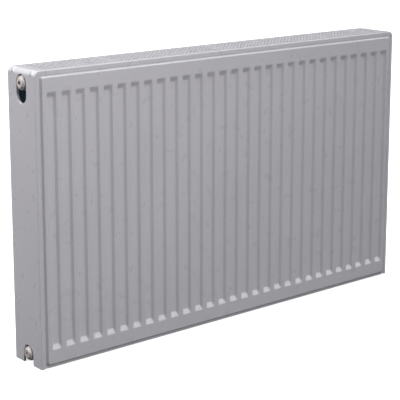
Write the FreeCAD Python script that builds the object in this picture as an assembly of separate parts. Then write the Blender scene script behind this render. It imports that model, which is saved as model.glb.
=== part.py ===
"""Steel panel radiator: two pressed water panels, two convectors, side covers, top grille and vent.

Units are millimetres. X runs along the radiator, -Y is the room side, +Z is up. The origin is the
middle of the base, half way between the two panels.
"""
import FreeCAD, Part
import math
import os

from FreeCAD import Vector

# ---- driving dimensions -------------------------------------------------------------------------
LENGTH = 1000.0          # of the panels
HEIGHT = 600.0           # floor to the top of the grille
DEPTH = 105.0            # over the raised faces of the two panels
GROOVES = 29             # pressed grooves between 30 water channels
PITCH = LENGTH / (GROOVES + 1)

# pressed panel sheets
SHEET = 1.25             # sheet thickness
PRESS = 5.0              # how far the raised face stands off the flange
PANEL = 2 * (SHEET + PRESS)
WELD_Y = -(DEPTH - PANEL) / 2          # plane where the front panel's two sheets meet
PANEL_TOP = HEIGHT - 1.5
CORNER_R = 14.0          # rounded corners of the sheets, clear of the covers' shoulders
FLANGE_SIDE = 10.0       # flat margin at the panel's ends
FLANGE_BOTTOM = 6.0
FLANGE_TOP = 9.5
EDGE_FLANK = 3.0         # width of the sloping step round the raised face
GROOVE_HALF = 11.0       # half the groove's width at its mouth
GROOVE_FLANK = 4.0
GROOVE_CAP = 10.0        # sloping end of a groove
GROOVE_LOW = 38.0        # mouth of the groove, lower end
GROOVE_HIGH = HEIGHT - 43.0

# convectors between the panels
FIN_SHEET = 0.5
FIN_CLEAR = 4.0          # from a convector to the middle of the radiator
FIN_DEPTH = DEPTH / 2 - PANEL - FIN_CLEAR
FIN_FLAT = 10.0
FIN_LOW = 50.0
FIN_HIGH = HEIGHT - 52.0

# connections at the four corners
PORT_LOW = 22.0
PORT_HIGH = PORT_LOW + 550.0
PORT_FACE = LENGTH / 2 - 2.0           # end face of the connection boss
BOSS_R = 15.5
THREAD_R = 9.3                         # G 1/2 internal thread, at its crests
THREAD_DEPTH = 15.0
CROSS_X = LENGTH / 2 - 26.0            # axis of the cross tube between the panels
CROSS_R = 11.0
CROSS_BORE_R = 8.5
WATERWAY_R = 7.5

# side covers and grille
COVER_SHEET = 1.0
COVER_X = LENGTH / 2 + 1.5             # outer face of the cover
COVER_PLAY = 0.4                       # between the panels' flanges and the cover's lips
COVER_Y = DEPTH / 2 - PRESS + COVER_PLAY + COVER_SHEET   # outer face of its front and rear lips
COVER_LIP = 8.0
COVER_TOP = 24.2                       # how far the cover reaches over the top
COVER_ROUND = 12.0                     # shoulder between the end wall and the top
COVER_BAND = 9.5                       # depth of the front and rear bands under the top
EDGE_ROUND = 2.0
LIFT = 23.0                            # how far a cover lifts before it unhooks
SLOT_R = 17.0                          # half width of the openings round the ports
COLLAR = 4.0                           # turned-in edge of those openings
LOUVRE_Y = 33.0                        # slits across the shoulder, either side of the middle
LOUVRE_WIDTH = 3.6
LOUVRE_LENGTH = 9.0
GRILLE_GAP = 1.2                       # between the grille's ends and the covers
VENT_PITCH = 10.0                      # grid of the air slots
VENT_ROWS = 7
VENT_X = 6.4                           # size of one air slot
VENT_Y = 7.0

# spring clips on the cross tubes and the hooks that hang over them
CLIP_SHEET = 1.2
CLIP_WIDTH = 10.0
CLIP_Y = (-34.0, 24.0)
CLIP_MOUTH = 7.0                       # half the gap in the spring ring
TONGUE_X = LENGTH / 2 - 4.0            # outer face of the tongue
TONGUE_RISE = 10.0
HOOK_X = TONGUE_X - 4.5                # inner face of the hook's leg
HOOK_DROP = 9.0

# strips that carry the grille
BRIDGE_WIDTH = 16.0
BRIDGE_X = (-300.0, 0.0, 300.0)

# plugs in the left-hand ports
PLUG_R = 13.5
PLUG_FLANGE = 3.0
PLUG_FACE = COVER_X + 1.1              # outer face of the plug's flange
SHANK_R = THREAD_R - 0.1
SHANK_END = PORT_FACE - 12.0
NOZZLE_R = 10.0
NOZZLE_HOLE_R = 4.1                    # clear of the spindle's square head

# hanging lugs behind the rear panel
LUG_SHEET = 2.0
LUG_GAP = 6.0
LUG_HEIGHT = 40.0
LUG_FOOT = 10.0
LUG_X = 300.0
LUG_LOW = (90.0, HEIGHT - 130.0)

X_AXIS, Y_AXIS, Z_AXIS = Vector(1, 0, 0), Vector(0, 1, 0), Vector(0, 0, 1)
ORIGIN = Vector(0, 0, 0)


# ---- helpers ------------------------------------------------------------------------------------
def box(x0, x1, y0, y1, z0, z1):
    return Part.makeBox(x1 - x0, y1 - y0, z1 - z0, Vector(x0, y0, z0))


def rod(radius, start, end, axis=X_AXIS, centre=ORIGIN):
    """Cylinder along an axis, between two positions on it."""
    return Part.makeCylinder(radius, end - start, centre + axis * start, axis)


def prism(points, direction):
    """Flat polygon pushed along a direction."""
    return Part.Face(Part.makePolygon(points + points[:1])).extrude(direction)


def frustum(rect_a, y_a, rect_b, y_b):
    """Block between two rectangles (x0, x1, z0, z1) that lie in two planes of constant y."""
    def corners(rect, y):
        x0, x1, z0, z1 = rect
        return [Vector(x0, y, z0), Vector(x1, y, z0), Vector(x1, y, z1), Vector(x0, y, z1)]
    a, b = corners(rect_a, y_a), corners(rect_b, y_b)
    sides = [[a[i], a[(i + 1) % 4], b[(i + 1) % 4], b[i]] for i in range(4)]
    faces = [Part.Face(Part.makePolygon(ring + ring[:1])) for ring in [a, b] + sides]
    block = Part.makeSolid(Part.makeShell(faces))
    return block if block.Volume > 0 else block.reversed()


def inset(rect, side, end):
    """Rectangle made smaller by side in x and by end in z."""
    x0, x1, z0, z1 = rect
    return (x0 + side, x1 - side, z0 + end, z1 - end)


def flank_shift(width):
    """Horizontal thickness of the sheet on a slope this wide."""
    return SHEET * math.hypot(width, PRESS) / PRESS


def strip(points, thickness, direction):
    """Bent strip: a path of (u, v) pairs thickened to its left, in the plane across direction."""
    def shifted(index):
        before = points[max(index - 1, 0):index + 1]
        after = points[index:index + 2]
        normals = []
        for pair in (before, after):
            if len(pair) == 2:
                du, dv = pair[1][0] - pair[0][0], pair[1][1] - pair[0][1]
                size = math.hypot(du, dv)
                normals.append((-dv / size, du / size))
        if len(normals) == 1:
            normals.append(normals[0])
        nu, nv = normals[0][0] + normals[1][0], normals[0][1] + normals[1][1]
        scale = 2 * thickness / (nu * nu + nv * nv)
        return (points[index][0] + nu * scale, points[index][1] + nv * scale)
    ring = points + [shifted(i) for i in reversed(range(len(points)))]
    if abs(direction.x) > 0:
        corners = [Vector(0, u, v) for u, v in ring]
    elif abs(direction.y) > 0:
        corners = [Vector(u, 0, v) for u, v in ring]
    else:
        corners = [Vector(u, v, 0) for u, v in ring]
    return prism(corners, direction)


def turned(profile, centre):
    """Solid of revolution about a line parallel to X; profile is a list of (x, radius)."""
    corners = [Vector(x, 0, r) for x, r in profile]
    face = Part.Face(Part.makePolygon(corners + corners[:1]))
    return face.revolve(ORIGIN, X_AXIS, 360).translated(centre)


def moved(shape, x=0.0, y=0.0, z=0.0):
    return shape.translated(Vector(x, y, z))


def to_right(shape):
    return shape.mirror(ORIGIN, X_AXIS)


def to_rear(shape):
    return shape.mirror(ORIGIN, Y_AXIS)


def fused(shapes):
    return shapes[0].fuse(shapes[1:]).removeSplitter() if len(shapes) > 1 else shapes[0]


# ---- panels -------------------------------------------------------------------------------------
def pressed_sheet():
    """One pressed sheet: weld plane at y = 0, raised face towards -y."""
    top = -(SHEET + PRESS)
    base = (-LENGTH / 2 + FLANGE_SIDE, LENGTH / 2 - FLANGE_SIDE, FLANGE_BOTTOM, PANEL_TOP - FLANGE_TOP)
    raised = frustum(base, -SHEET, inset(base, EDGE_FLANK, EDGE_FLANK), top)
    plate = box(-LENGTH / 2, LENGTH / 2, -SHEET, 0, 0, PANEL_TOP)
    corners = [e for e in plate.Edges if abs(e.tangentAt(e.FirstParameter).y) > 0.5]
    blank = plate.makeFillet(CORNER_R, corners).fuse(raised)

    wall = flank_shift(EDGE_FLANK)
    slope = EDGE_FLANK / PRESS
    low, high = wall - slope * SHEET, wall + slope * (PRESS - SHEET)
    hollow = frustum(inset(base, low, low), 0, inset(base, high, high), -PRESS)

    side_wall, cap_wall = flank_shift(GROOVE_FLANK), flank_shift(GROOVE_CAP)
    side_step, cap_step = GROOVE_FLANK / PRESS, GROOVE_CAP / PRESS
    grooves, ridges = [], []
    for i in range(GROOVES):
        x = -LENGTH / 2 + PITCH * (i + 1)
        mouth = (x - GROOVE_HALF, x + GROOVE_HALF, GROOVE_LOW, GROOVE_HIGH)
        grooves.append(frustum(inset(mouth, -side_step, -cap_step), top - 1,
                               inset(mouth, GROOVE_FLANK, GROOVE_CAP), -SHEET))
        near = inset(mouth, side_step * SHEET - side_wall, cap_step * SHEET - cap_wall)
        far = inset(mouth, side_step * (PRESS + SHEET) - side_wall, cap_step * (PRESS + SHEET) - cap_wall)
        ridges.append(frustum(inset(near, -side_step, -cap_step), -PRESS - 1,
                              inset(far, side_step, cap_step), 1))
    water = hollow.cut(Part.makeCompound(ridges))
    return blank.cut(Part.makeCompound(grooves)).cut(water)


def port_holes():
    places = [(x, z) for x in (-CROSS_X, CROSS_X) for z in (PORT_LOW, PORT_HIGH)]
    return Part.makeCompound([rod(CROSS_BORE_R, -DEPTH, DEPTH, Y_AXIS, Vector(x, 0, z)) for x, z in places])


def panels():
    outer = pressed_sheet()
    inner = to_rear(outer).cut(port_holes())
    front_outer, front_inner = moved(outer, y=WELD_Y), moved(inner, y=WELD_Y)
    return {
        "front_panel_outer_sheet": front_outer,
        "front_panel_inner_sheet": front_inner,
        "rear_panel_inner_sheet": to_rear(front_inner),
        "rear_panel_outer_sheet": to_rear(front_outer),
    }


def convector():
    """Corrugated fin sheet welded to the back of the front panel, one fold for every channel."""
    y = WELD_Y + SHEET + PRESS
    path = []
    for i in range(GROOVES - 1):
        x = -LENGTH / 2 + PITCH * (i + 1.5)
        path += [(x - FIN_FLAT / 2, y), (x + FIN_FLAT / 2, y)]
        if i < GROOVES - 2:
            crest = x + PITCH / 2
            path += [(crest - FIN_FLAT / 2, y + FIN_DEPTH - FIN_SHEET),
                     (crest + FIN_FLAT / 2, y + FIN_DEPTH - FIN_SHEET)]
    return moved(strip(path, FIN_SHEET, Z_AXIS * (FIN_HIGH - FIN_LOW)), z=FIN_LOW)


# ---- corner connections ---------------------------------------------------------------------------
def corner_tee(z):
    """Left-hand tee: a cross tube between the panels with a threaded boss towards -X."""
    half = -(WELD_Y + SHEET + PRESS)
    tube_axis, port_axis = Vector(-CROSS_X, 0, z), Vector(0, 0, z)
    body = rod(CROSS_R, -half, half, Y_AXIS, tube_axis)
    body = body.fuse(rod(BOSS_R, -PORT_FACE, -CROSS_X - 3, X_AXIS, port_axis)).removeSplitter()
    body = body.cut(rod(CROSS_BORE_R, -half - 1, half + 1, Y_AXIS, tube_axis))
    body = body.cut(rod(THREAD_R, -PORT_FACE - 1, -PORT_FACE + THREAD_DEPTH, X_AXIS, port_axis))
    return body.cut(rod(WATERWAY_R, -PORT_FACE, -CROSS_X, X_AXIS, port_axis))


# ---- side covers ----------------------------------------------------------------------------------
def shoulder_block(margin, edge_round):
    """Solid left end block with a rounded shoulder, margin inside the cover's outer face."""
    x0, z1, r = -COVER_X + margin, HEIGHT - margin, COVER_ROUND - margin
    x1, y = -COVER_X + 2 * COVER_TOP, COVER_Y - margin
    arc_mid = Vector(x0 + r * (1 - math.sqrt(0.5)), 0, z1 - r * (1 - math.sqrt(0.5)))
    outline = Part.Wire([
        Part.LineSegment(Vector(x0, 0, -5), Vector(x0, 0, z1 - r)).toShape(),
        Part.Arc(Vector(x0, 0, z1 - r), arc_mid, Vector(x0 + r, 0, z1)).toShape(),
        Part.LineSegment(Vector(x0 + r, 0, z1), Vector(x1, 0, z1)).toShape(),
        Part.LineSegment(Vector(x1, 0, z1), Vector(x1, 0, -5)).toShape(),
        Part.LineSegment(Vector(x1, 0, -5), Vector(x0, 0, -5)).toShape(),
    ])
    block = moved(Part.Face(outline).extrude(Y_AXIS * 2 * y), y=-y)

    def on_rim(edge):
        spot = edge.valueAt((edge.FirstParameter + edge.LastParameter) / 2)
        return abs(abs(spot.y) - y) < 1e-6 and spot.z > -4 and spot.x < x1 - 1
    return block.makeFillet(edge_round, [e for e in block.Edges if on_rim(e)])


def port_opening(z_low, z_high, radius, x0, x1):
    """Round-topped slot through the end wall; z_low and z_high are the centres of its round ends."""
    low, high = Vector(0, 0, z_low), Vector(0, 0, z_high)
    straight = box(x0, x1, -radius, radius, z_low, z_high)
    return fused([straight, rod(radius, x0, x1, X_AXIS, low), rod(radius, x0, x1, X_AXIS, high)])


def side_cover():
    """Left end cover: end wall, rounded shoulder, top strip, lips and bands, openings at the ports."""
    block = shoulder_block(0, EDGE_ROUND)
    shell = block.cut(shoulder_block(COVER_SHEET, EDGE_ROUND - COVER_SHEET))
    body = block.cut(box(-COVER_X - 1, 0, -DEPTH, DEPTH, -HEIGHT, 0))
    lip_end, band_low = -COVER_X + COVER_LIP, HEIGHT - COVER_BAND
    shell = shell.cut(box(lip_end, 0, -DEPTH, DEPTH, -10, band_low))
    shell = shell.cut(box(-COVER_X + COVER_TOP, 0, -DEPTH, DEPTH, -10, HEIGHT + 1))
    shell = shell.cut(box(-COVER_X - 1, 0, -DEPTH, DEPTH, -10, 0))

    x0, x1 = -COVER_X, -COVER_X + COVER_SHEET + COLLAR
    upper = (PORT_HIGH - LIFT, PORT_HIGH)
    lower = (PORT_LOW - 3 * SLOT_R, PORT_LOW)
    for low, high in (upper, lower):
        ring = port_opening(low, high, SLOT_R + COVER_SHEET, x0, x1)
        shell = shell.fuse(ring.common(body))
        shell = shell.cut(port_opening(low, high, SLOT_R, x0 - 1, x1 + 1))

    corner = Vector(-COVER_X + COVER_ROUND, 0, HEIGHT - COVER_ROUND)
    for y in (-LOUVRE_Y, LOUVRE_Y):
        slit = box(-COVER_ROUND - 2, -COVER_ROUND + 3, y - LOUVRE_WIDTH / 2, y + LOUVRE_WIDTH / 2,
                   -LOUVRE_LENGTH / 2, LOUVRE_LENGTH / 2)
        slit.rotate(ORIGIN, Y_AXIS, 45)
        shell = shell.cut(slit.translated(corner))
    return shell.removeSplitter()


def cover_clips():
    """Spring clips pushed over the left cross tubes; each holds up a tongue for the cover to hang on."""
    clips = []
    half = CLIP_SHEET / 2
    for z in (PORT_LOW, PORT_HIGH):
        axis = Vector(-CROSS_X, 0, z)
        for y in CLIP_Y:
            end = y + CLIP_WIDTH
            ring = rod(CROSS_R + CLIP_SHEET, y, end, Y_AXIS, axis)
            mouth = box(-CROSS_X, -CROSS_X + 2 * CROSS_R, y - 1, end + 1, z - CLIP_MOUTH, z + CLIP_MOUTH)
            arm = box(-TONGUE_X, -CROSS_X - CROSS_R - half, y, end, z - half, z + half)
            tongue = box(-TONGUE_X, -TONGUE_X + CLIP_SHEET, y, end, z - half, z + TONGUE_RISE)
            clip = fused([ring, arm, tongue]).cut(rod(CROSS_R + 0.05, y - 1, end + 1, Y_AXIS, axis))
            clips.append(clip.cut(mouth))
    return Part.makeCompound(clips)


def cover_hooks():
    """Hooks welded inside the left cover, hanging over the clips' tongues."""
    wall = -COVER_X + COVER_SHEET
    hooks = []
    for z in (PORT_LOW, PORT_HIGH):
        under = z + TONGUE_RISE + 1
        top = under + CLIP_SHEET
        for y in CLIP_Y:
            end = y + CLIP_WIDTH
            roof = box(wall, -HOOK_X, y, end, under, top)
            leg = box(-HOOK_X - CLIP_SHEET, -HOOK_X, y, end, top - HOOK_DROP, top)
            foot = box(wall, wall + CLIP_SHEET, y, end, top - HOOK_DROP, top)
            hooks.append(fused([roof, leg, foot]))
    return Part.makeCompound(hooks)


# ---- top grille -----------------------------------------------------------------------------------
def top_grille():
    """Plate with a grid of air slots and a band folded down along its front and rear edges."""
    x1 = COVER_X - COVER_TOP - GRILLE_GAP
    low, high = HEIGHT - COVER_SHEET, HEIGHT
    inner_y = COVER_Y - EDGE_ROUND
    rim = [Vector(-x1, -inner_y, low), Vector(x1, -inner_y, low), Vector(x1, inner_y, low),
           Vector(-x1, inner_y, low)]
    columns = int((2 * x1 - VENT_PITCH) // VENT_PITCH)
    wires = [Part.makePolygon(rim + rim[:1])]
    for column in range(columns):
        x = (column - (columns - 1) / 2) * VENT_PITCH
        for row in range(VENT_ROWS):
            y = (row - (VENT_ROWS - 1) / 2) * VENT_PITCH
            a, b = VENT_X / 2, VENT_Y / 2
            slot = [Vector(x - a, y - b, low), Vector(x - a, y + b, low), Vector(x + a, y + b, low),
                    Vector(x + a, y - b, low)]
            wires.append(Part.makePolygon(slot + slot[:1]))
    plate = Part.Face(wires).extrude(Z_AXIS * COVER_SHEET)

    r, t, y0 = EDGE_ROUND, COVER_SHEET, -COVER_Y
    cos45 = math.sqrt(0.5)
    bend_y, bend_z = y0 + r, high - r

    def arc(radius):
        mid = Vector(-x1, bend_y - radius * cos45, bend_z + radius * cos45)
        return Part.Arc(Vector(-x1, bend_y - radius, bend_z), mid, Vector(-x1, bend_y, bend_z + radius))

    foot = high - COVER_BAND
    section = Part.Wire([
        Part.LineSegment(Vector(-x1, y0, foot), Vector(-x1, y0, bend_z)).toShape(),
        arc(r).toShape(),
        Part.LineSegment(Vector(-x1, bend_y, high), Vector(-x1, bend_y, low)).toShape(),
        arc(r - t).toShape(),
        Part.LineSegment(Vector(-x1, y0 + t, bend_z), Vector(-x1, y0 + t, foot)).toShape(),
        Part.LineSegment(Vector(-x1, y0 + t, foot), Vector(-x1, y0, foot)).toShape(),
    ])
    band = Part.Face(section).extrude(X_AXIS * 2 * x1)
    return plate.fuse([band, to_rear(band)]).removeSplitter()


def grille_bridges():
    """Three strips spanning the two panels under the grille."""
    y = -(WELD_Y + SHEET)
    low = PANEL_TOP - FLANGE_TOP + 0.3
    path = [(-y, low), (-y, PANEL_TOP), (y, PANEL_TOP), (y, low)]
    bridge = strip(list(reversed(path)), CLIP_SHEET, X_AXIS * BRIDGE_WIDTH)
    return Part.makeCompound([moved(bridge, x=x - BRIDGE_WIDTH / 2) for x in BRIDGE_X])


# ---- plugs ----------------------------------------------------------------------------------------
def plug_blank(centre):
    """Outer form shared by both plugs: flange, raised ring and threaded shank."""
    face, back = -PLUG_FACE, -PLUG_FACE + PLUG_FLANGE
    edge = 0.6
    profile = [(face, 0), (face, PLUG_R - edge), (face + edge, PLUG_R), (back - edge, PLUG_R),
               (back, PLUG_R - edge), (back, SHANK_R), (-SHANK_END - edge, SHANK_R),
               (-SHANK_END, SHANK_R - edge), (-SHANK_END, 0)]
    return turned(profile, centre)


def seal_ring(centre):
    """Ring squeezed between a plug's flange and the end of the boss."""
    back, face, half = -PLUG_FACE + PLUG_FLANGE, -PORT_FACE, (PLUG_FACE - PLUG_FLANGE - PORT_FACE) / 2
    middle = back + half
    profile = [(back, 10.0), (middle, 9.5), (face, 10.0), (face, 11.8), (middle, 12.3), (back, 11.8)]
    return turned(profile, centre)


def blanking_plug():
    centre = Vector(0, 0, PORT_LOW)
    face = -PLUG_FACE
    head = turned([(face, 0), (face, NOZZLE_R), (face - 2, NOZZLE_R), (face - 2.6, NOZZLE_R - 0.6),
                   (face - 2.6, 0)], centre)
    corners = [Vector(face - 4, 4.62 * math.cos(math.radians(a)), 4.62 * math.sin(math.radians(a)))
               for a in range(30, 390, 60)]
    socket = prism(corners, X_AXIS * 9).translated(centre)
    return plug_blank(centre).fuse(head).removeSplitter().cut(socket)


def vent_parts():
    """Air vent in the upper left port: body, swivel nozzle, spindle and its seal."""
    centre = Vector(0, 0, PORT_HIGH)
    face = -PLUG_FACE
    spigot_end = face - 2.0
    spigot = turned([(face, 0), (face, 7.0), (face - 0.9, 7.0), (face - 0.9, 6.6), (face - 1.3, 6.6),
                     (face - 1.3, 7.0), (spigot_end, 7.0), (spigot_end, 0)], centre)
    recess, bore, seat, cup = face + 1.1, face + 9.1, face + 11.7, face + 14.6
    passage = turned([(spigot_end - 1, 0), (spigot_end - 1, 4.4), (recess, 4.4), (recess, 2.55), (bore, 2.55),
                      (bore, 2.75), (seat, 2.75), (seat, 1.0), (cup, 1.0), (cup, 6.0), (-SHANK_END + 1, 6.0),
                      (-SHANK_END + 1, 0)], centre)
    bleed = rod(0.8, -8.0, -3.0, Z_AXIS, Vector(face - 0.4, 0, PORT_HIGH))
    body = plug_blank(centre).fuse(spigot).removeSplitter().cut(passage).cut(bleed)

    inner = face - 0.15
    nozzle = turned([(inner, 7.05), (inner, NOZZLE_R), (face - 2.4, NOZZLE_R), (face - 3.0, NOZZLE_R - 0.6),
                     (face - 3.0, NOZZLE_HOLE_R), (face - 2.3, NOZZLE_HOLE_R), (face - 2.3, 7.05),
                     (face - 1.2, 7.05), (face - 1.2, 6.75), (face - 1.0, 6.75), (face - 1.0, 7.05)], centre)
    nozzle = nozzle.cut(rod(0.9, -11.0, -6.0, Z_AXIS, Vector(face - 0.5, 0, PORT_HIGH)))

    tip = seat - 1.6
    shaft = turned([(recess - 0.2, 0), (recess - 0.2, 2.5), (tip, 2.5), (tip, 0.75), (tip + 0.7, 0.75),
                    (tip + 0.7, 0)], centre)
    head = moved(box(face - 2.4, recess - 0.2, -2.5, 2.5, -2.5, 2.5), z=PORT_HIGH)
    flat = moved(box(recess, tip + 1, -3, 3, 2.1, 3), z=PORT_HIGH)
    spindle = shaft.fuse(head).removeSplitter().cut(flat)

    seal = turned([(tip + 0.1, 0.8), (tip + 0.1, 2.2), (seat - 0.3, 2.2), (seat - 0.1, 2.0), (seat - 0.1, 0),
                   (tip + 0.9, 0), (tip + 0.9, 0.8)], centre)
    return {
        "vent_plug_body": body,
        "vent_nozzle": nozzle,
        "vent_spindle": spindle,
        "vent_seal": seal,
    }


# ---- hanging lugs -----------------------------------------------------------------------------------
def hanging_lug(x, z):
    """Bridge across one groove of the rear panel, with a vertical gap for the wall bracket."""
    face = DEPTH / 2
    foot, reach = PITCH / 2 + LUG_FOOT / 2, PITCH / 2 - LUG_FOOT / 2
    path = [(x + foot, face), (x + reach, face), (x + reach - 1.5, face + LUG_GAP),
            (x - reach + 1.5, face + LUG_GAP), (x - reach, face), (x - foot, face)]
    return moved(strip(list(reversed(path)), LUG_SHEET, Z_AXIS * LUG_HEIGHT), z=z)


# ---- all sub-parts ----------------------------------------------------------------------------------
def sub_parts():
    parts = panels()
    parts["front_convector"] = convector()
    parts["rear_convector"] = to_rear(parts["front_convector"])
    for name, z in (("lower", PORT_LOW), ("upper", PORT_HIGH)):
        parts[f"{name}_left_tee"] = corner_tee(z)
        parts[f"{name}_right_tee"] = to_right(parts[f"{name}_left_tee"])
    makers = (("side_cover", side_cover), ("cover_clips", cover_clips), ("cover_hooks", cover_hooks))
    for name, maker in makers:
        parts[f"left_{name}"] = maker()
        parts[f"right_{name}"] = to_right(parts[f"left_{name}"])
    parts["top_grille"] = top_grille()
    parts["grille_bridges"] = grille_bridges()
    parts["blanking_plug"] = blanking_plug()
    parts["blanking_plug_seal"] = seal_ring(Vector(0, 0, PORT_LOW))
    parts["vent_plug_seal"] = seal_ring(Vector(0, 0, PORT_HIGH))
    parts.update(vent_parts())
    for level, z in zip(("lower", "upper"), LUG_LOW):
        for side, x in (("left", -LUG_X), ("right", LUG_X)):
            parts[f"{level}_{side}_lug"] = hanging_lug(x, z)
    return parts


def main():
    os.makedirs("parts", exist_ok=True)
    for node, shape in sub_parts().items():
        solids = shape.Solids
        bounds = shape.BoundBox
        print(f"{node:28s} solids {len(solids)} faces {len(shape.Faces):5d} valid {shape.isValid()}"
              f" cm3 {shape.Volume / 1000:9.3f}  x {bounds.XMin:8.2f} {bounds.XMax:8.2f}"
              f"  y {bounds.YMin:7.2f} {bounds.YMax:7.2f}  z {bounds.ZMin:7.2f} {bounds.ZMax:7.2f}")
        whole = solids[0] if len(solids) == 1 else Part.makeCompound(solids)
        whole.exportStep(f"parts/{node}.step")


main()
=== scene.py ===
"""Looks of the panel radiator with its air vent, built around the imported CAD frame."""
from math import cos, hypot, pi, radians, sin, sqrt, tan

import bmesh
import bpy
import numpy as np
from mathutils import Matrix, Vector
from mathutils.geometry import delaunay_2d_cdt


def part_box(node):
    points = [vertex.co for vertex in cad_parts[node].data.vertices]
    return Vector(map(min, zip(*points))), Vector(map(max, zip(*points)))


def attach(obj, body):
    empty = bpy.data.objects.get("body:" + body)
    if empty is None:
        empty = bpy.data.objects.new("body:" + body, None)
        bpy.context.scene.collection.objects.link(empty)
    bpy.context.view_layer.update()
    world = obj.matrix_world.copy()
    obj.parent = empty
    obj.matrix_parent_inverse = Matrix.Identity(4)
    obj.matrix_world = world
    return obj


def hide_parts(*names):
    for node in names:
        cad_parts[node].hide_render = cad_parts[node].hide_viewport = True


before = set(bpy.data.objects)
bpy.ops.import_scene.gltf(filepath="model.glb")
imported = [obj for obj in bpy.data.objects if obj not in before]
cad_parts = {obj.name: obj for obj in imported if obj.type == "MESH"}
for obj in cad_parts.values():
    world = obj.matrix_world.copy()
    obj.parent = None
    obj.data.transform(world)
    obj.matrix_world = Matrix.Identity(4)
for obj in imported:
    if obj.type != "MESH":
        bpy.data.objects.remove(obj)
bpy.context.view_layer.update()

MM = 0.001
X, Y, Z = Vector((1, 0, 0)), Vector((0, 1, 0)), Vector((0, 0, 1))
placed = []


def box(node):
    """Lowest and highest corner of a CAD node, in millimetres."""
    lo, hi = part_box(node)
    return lo / MM, hi / MM


# ---- dimensions, in millimetres, read from the CAD frame where it has them ----
sheet_lo, sheet_hi = box("front_panel_outer_sheet")
cover_lo, cover_hi = box("left_side_cover")
grille_lo, grille_hi = box("top_grille")
fin_lo, fin_hi = box("front_convector")
tee_lo, tee_hi = box("upper_left_tee")
plug_lo, plug_hi = box("blanking_plug")
vent_lo, vent_hi = box("vent_plug_body")
nozzle_lo, nozzle_hi = box("vent_nozzle")
spindle_lo, spindle_hi = box("vent_spindle")
bridge_lo, bridge_hi = box("grille_bridges")

HALF_LENGTH = sheet_hi.x
PANEL_TOP = sheet_hi.z
SHEET = 1.25
PRESS = sheet_hi.y - sheet_lo.y - SHEET
GROOVES = 29
PITCH = 2 * HALF_LENGTH / (GROOVES + 1)
CORNER_R = 14.0
RAISED_SIDE = 10.0
RAISED_LOW = 6.0
FLANGE_TOP = 9.5
RAISED_HIGH = PANEL_TOP - FLANGE_TOP
RAISED_CORNER = 6.0
EDGE_FLANK = 3.0
GROOVE_HALF = 11.0
GROOVE_FLANK = 4.0
GROOVE_CAP = 10.0
GROOVE_LOW = 38.0
GROOVE_HIGH = 557.0
BEND = 0.18  # softness of a press bend, as a share of its flank
SEAM_IN = 4.2  # middle of the seam weld's track, from the sheet's edge
SEAM_HALF = 2.2
SEAM_DEPTH = 0.22
RIM = 0.35  # rounding of the sheet's cut edges
END_REACH = 20.0  # length at each end of a sheet that takes up its rounded corners
FIN_GAUGE = 0.5
FIN_FLAT = 5.0  # half of a fin's flat crest

COVER_SHEET = 1.0
COVER_ROUND = 12.0
EDGE_ROUND = 2.0
COVER_LIP = 8.0
BAND_LOW = cover_hi.z - 9.5
SLOT_R = 17.0
COLLAR = 4.0
COLLAR_BEND = 1.6
PORT_LOW = (plug_lo.z + plug_hi.z) / 2
PORT_HIGH = (vent_lo.z + vent_hi.z) / 2
LOWER, UPPER = Z * PORT_LOW, Z * PORT_HIGH
COVER_LIFT = 23.0
LANCE_Y = 33.0
LANCE_HALF = 1.8
LANCE_RISE = 2.2
LANCE_WIDTH = 5.0

GRILLE_SHEET = 1.0
GRILLE_ROUND = 2.0
VENT_PITCH = 10.0
VENT_COLUMNS = 94
VENT_ROWS = 7
VENT_HALF = (3.2, 3.5)
VENT_CORNER = 1.3

BOSS_R = 15.5
THREAD_R = 9.3
THREAD_PITCH = 1.814
THREAD_HEIGHT = 1.1
THREAD_FADE = 1.2  # run-in and run-out of a thread
THREAD_DEPTH = 15.0  # length of a port's thread
THROAT_R = 7.5  # bore from the thread's end into the cross tube
CROSS_X = 474.0
CROSS_R = 11.0
CROSS_BORE = 8.5
WELD_R = 1.35  # section of the bead at a cross tube's end

CLIP_Y = 29.0
CLIP_GAUGE = 1.1
CLIP_WIDTH = 10.0
CLIP_GRIP = CROSS_R + 0.65
CLIP_MOUTH = 40  # half of a clip's open angle, in degrees
CLIP_ARM = 21.4
TONGUE_WIDTH = 9.6
TONGUE_TOP = 10.0
HOOK_GAUGE = 1.2
HOOK_REACH = 8.4
HOOK_FOOT = 3.2
HOOK_TOP = 11.6
BRIDGE_GAUGE = 1.2
BRIDGE_WIDTH = 16.0
BRIDGE_STEP = 300.0
LUG_GAUGE = 2.0
NUGGET = (2.3, 1.35, 2.3)
NUGGET_IN = 4.6
NUGGET_STEP = 12.0

PLUG_RISE = 2.6  # head of the blanking plug, beyond its flange
VENT_RISE = 2.0  # spigot of the vent, beyond its flange
FLANGE_THICK = 3.0
SHANK_GAP = 3.6  # from a flange's back to the first thread
SOCKET_R = 4.62
SOCKET_DEPTH = 5.0
KEY_SQUARE = 5.0
KEY_LENGTH = 3.0
NEEDLE_R = 2.45


# ---- mesh helpers ----
def in_scene(obj):
    bpy.context.scene.collection.objects.link(obj)
    return obj


def finish_mesh(name, bm, material, smooth_angle=38, origin=None, scale=MM):
    """Object from a bmesh in millimetres, smooth-shaded up to an angle, with its origin at a point."""
    bmesh.ops.remove_doubles(bm, verts=bm.verts, dist=1e-4)
    loose = [v for v in bm.verts if not v.link_faces]
    bmesh.ops.delete(bm, geom=loose, context="VERTS")
    at = Vector(origin or (0, 0, 0))
    for v in bm.verts:
        v.co = (v.co - at) * scale
    mesh = bpy.data.meshes.new(name)
    bm.to_mesh(mesh)
    bm.free()
    obj = in_scene(bpy.data.objects.new(name, mesh))
    obj.location = at * scale
    shade(obj, smooth_angle)
    if material:
        mesh.materials.append(material)
    return obj


def shade(obj, smooth_angle):
    """Smooth shading, with edges beyond the angle kept sharp."""
    mesh = obj.data
    mesh.polygons.foreach_set("use_smooth", [True] * len(mesh.polygons))
    mesh.set_sharp_from_angle(angle=radians(smooth_angle))
    mesh.update()


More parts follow.
